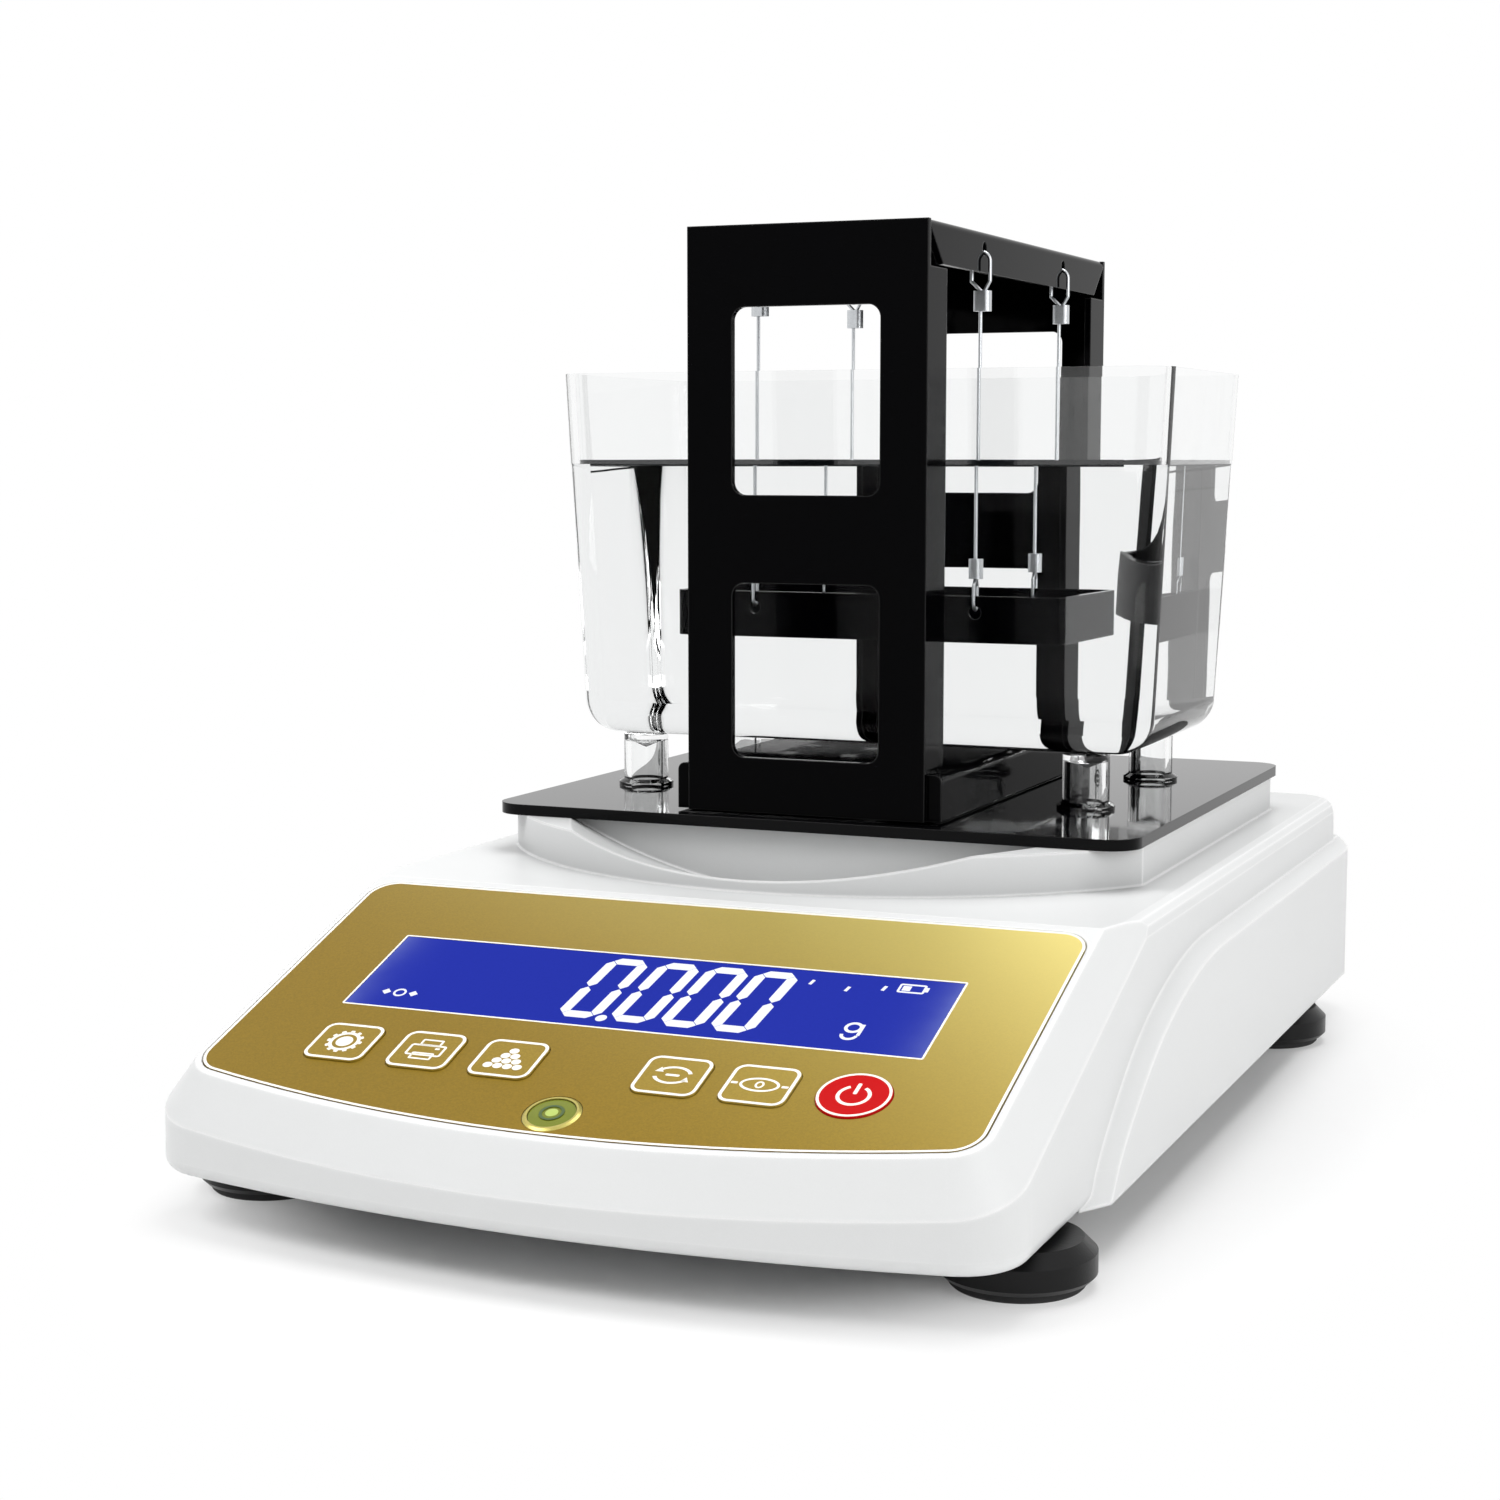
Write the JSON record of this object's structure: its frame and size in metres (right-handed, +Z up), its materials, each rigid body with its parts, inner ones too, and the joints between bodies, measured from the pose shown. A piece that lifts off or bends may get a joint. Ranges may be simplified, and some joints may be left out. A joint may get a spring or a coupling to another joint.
{
  "type": "benchtop density meter",
  "caption": "Electronic benchtop balance with a sloping key panel, a black weighing frame over a clear water tank and a tray hung in the tank on wires, for measuring density.",
  "frame": {"origin": "on the bench, under the middle of the housing's bounding box", "axes": "+Z up; -Y towards the user and the keys; +X to the user's right"},
  "size_m": [0.226, 0.37, 0.239],
  "materials": {
    "housing_white": "satin",
    "shell_grey": "matt",
    "overlay_gold": "satin",
    "window_clear": "gloss",
    "display_blue": "gloss",
    "board_green": "satin",
    "key_ivory": "satin",
    "key_red": "satin",
    "switch_black": "matt",
    "level_green": "gloss",
    "ring_chrome": "polished",
    "cell_aluminium": "machined",
    "fastener_steel": "zinc plated",
    "battery_grey": "satin",
    "plate_black": "gloss",
    "wire_steel": "twisted",
    "tank_clear": "gloss",
    "wheel_black": "satin",
    "sole_rubber": "matt",
    "insert_brass": "machined"
  },
  "bodies": {
    "housing": {"top_cover": "housing_white", "bottom_shell": "shell_grey", "panel_overlay": "overlay_gold", "lcd_window": "window_clear", "lcd_module": "display_blue", "display_board": "board_green", "display_board_screws": "fastener_steel", "key_switches": "switch_black", "level_ring": "ring_chrome", "bubble_level": "level_green", "load_cell": "cell_aluminium", "cell_base_bolts": "fastener_steel", "overload_stop": "fastener_steel", "battery": "battery_grey", "main_board": "board_green", "power_jack": "switch_black", "serial_port": "fastener_steel", "interface_board": "board_green", "base_plate": "plate_black", "plate_pegs": "fastener_steel", "housing_screws": "fastener_steel", "foot_inserts": "insert_brass", "tank": "tank_clear", "tank_feet": "tank_clear"},
    "weighing_frame": {"cell_top_bolts": "fastener_steel", "carrier_plate": "cell_aluminium", "weighing_column": "cell_aluminium", "frame_base": "plate_black", "frame_front_plate": "plate_black", "frame_back_plate": "plate_black", "frame_top_plate": "plate_black"},
    "left_wires": {"front_left_wire": "wire_steel", "rear_left_wire": "wire_steel", "left_crimps": "wire_steel"},
    "right_wires": {"front_right_wire": "wire_steel", "rear_right_wire": "wire_steel", "right_crimps": "wire_steel"},
    "hanging_tray": {"sample_tray": "plate_black"},
    "set_key": {"set_key": "key_ivory"},
    "print_key": {"print_key": "key_ivory"},
    "enter_key": {"enter_key": "key_ivory"},
    "mode_key": {"mode_key": "key_ivory"},
    "zero_key": {"zero_key": "key_ivory"},
    "power_key": {"power_key": "key_red"},
    "front_left_sole": {"front_left_foot_sole": "sole_rubber"},
    "front_left_wheel": {"front_left_foot_wheel": "wheel_black"},
    "front_right_sole": {"front_right_foot_sole": "sole_rubber"},
    "front_right_wheel": {"front_right_foot_wheel": "wheel_black"},
    "rear_left_sole": {"rear_left_foot_sole": "sole_rubber"},
    "rear_left_wheel": {"rear_left_foot_wheel": "wheel_black"},
    "rear_right_sole": {"rear_right_foot_sole": "sole_rubber"},
    "rear_right_wheel": {"rear_right_foot_wheel": "wheel_black"}
  },
  "joints": [
    {"name": "set_key_press", "type": "slide", "parent": "housing", "child": "set_key", "axis": [0, 0.3387, -0.9409], "range_m": [0, 0.0005], "stiffness_N_per_m": 1500},
    {"name": "print_key_press", "type": "slide", "parent": "housing", "child": "print_key", "axis": [0, 0.3387, -0.9409], "range_m": [0, 0.0005], "stiffness_N_per_m": 1500},
    {"name": "enter_key_press", "type": "slide", "parent": "housing", "child": "enter_key", "axis": [0, 0.3387, -0.9409], "range_m": [0, 0.0005], "stiffness_N_per_m": 1500},
    {"name": "mode_key_press", "type": "slide", "parent": "housing", "child": "mode_key", "axis": [0, 0.3387, -0.9409], "range_m": [0, 0.0005], "stiffness_N_per_m": 1500},
    {"name": "zero_key_press", "type": "slide", "parent": "housing", "child": "zero_key", "axis": [0, 0.3387, -0.9409], "range_m": [0, 0.0005], "stiffness_N_per_m": 1500},
    {"name": "power_key_press", "type": "slide", "parent": "housing", "child": "power_key", "axis": [0, 0.3387, -0.9409], "range_m": [0, 0.0005], "stiffness_N_per_m": 1500},
    {"name": "front_left_foot_height", "type": "slide", "parent": "housing", "child": "front_left_sole", "axis": [0, 0, 1], "range_m": [-0.005, 0.00063]},
    {"name": "front_left_foot_turn", "type": "hinge", "parent": "front_left_sole", "child": "front_left_wheel", "pos_m": [-0.0955, -0.135, 0.006], "axis": [0, 0, 1], "range_deg": [-1440, 180]},
    {"name": "front_right_foot_height", "type": "slide", "parent": "housing", "child": "front_right_sole", "axis": [0, 0, 1], "range_m": [-0.005, 0.00063]},
    {"name": "front_right_foot_turn", "type": "hinge", "parent": "front_right_sole", "child": "front_right_wheel", "pos_m": [0.0955, -0.135, 0.006], "axis": [0, 0, 1], "range_deg": [-1440, 180]},
    {"name": "rear_left_foot_height", "type": "slide", "parent": "housing", "child": "rear_left_sole", "axis": [0, 0, 1], "range_m": [-0.005, 0.00063]},
    {"name": "rear_left_foot_turn", "type": "hinge", "parent": "rear_left_sole", "child": "rear_left_wheel", "pos_m": [-0.0955, 0.121, 0.006], "axis": [0, 0, 1], "range_deg": [-1440, 180]},
    {"name": "rear_right_foot_height", "type": "slide", "parent": "housing", "child": "rear_right_sole", "axis": [0, 0, 1], "range_m": [-0.005, 0.00063]},
    {"name": "rear_right_foot_turn", "type": "hinge", "parent": "rear_right_sole", "child": "rear_right_wheel", "pos_m": [0.0955, 0.121, 0.006], "axis": [0, 0, 1], "range_deg": [-1440, 180]},
    {"name": "weighing_travel", "type": "slide", "parent": "housing", "child": "weighing_frame", "axis": [0, 0, 1], "range_m": [-0.0004, 0], "stiffness_N_per_m": 40000, "springref_m": 0.00027, "deforming": ["load_cell"]},
    {"name": "left_wires_swing", "type": "hinge", "parent": "weighing_frame", "child": "left_wires", "pos_m": [-0.033, 0.06, 0.2336], "axis": [0, 1, 0], "range_deg": [-5, 5]},
    {"name": "right_wires_swing", "type": "hinge", "parent": "weighing_frame", "child": "right_wires", "pos_m": [0.033, 0.06, 0.2336], "axis": [0, 1, 0], "range_deg": [-5, 5]},
    {"name": "tray_level", "type": "hinge", "parent": "left_wires", "child": "hanging_tray", "pos_m": [-0.033, 0.06, 0.1362], "axis": [0, 1, 0], "range_deg": [-5, 5]}
  ],
  "couplings": [
    {"joint": "front_left_foot_turn", "follows": "front_left_foot_height", "rad_per_m": 5026.5},
    {"joint": "front_right_foot_turn", "follows": "front_right_foot_height", "rad_per_m": 5026.5},
    {"joint": "rear_left_foot_turn", "follows": "rear_left_foot_height", "rad_per_m": 5026.5},
    {"joint": "rear_right_foot_turn", "follows": "rear_right_foot_height", "rad_per_m": 5026.5},
    {"joint": "right_wires_swing", "follows": "left_wires_swing", "ratio": 1},
    {"joint": "tray_level", "follows": "left_wires_swing", "ratio": -1}
  ]
}
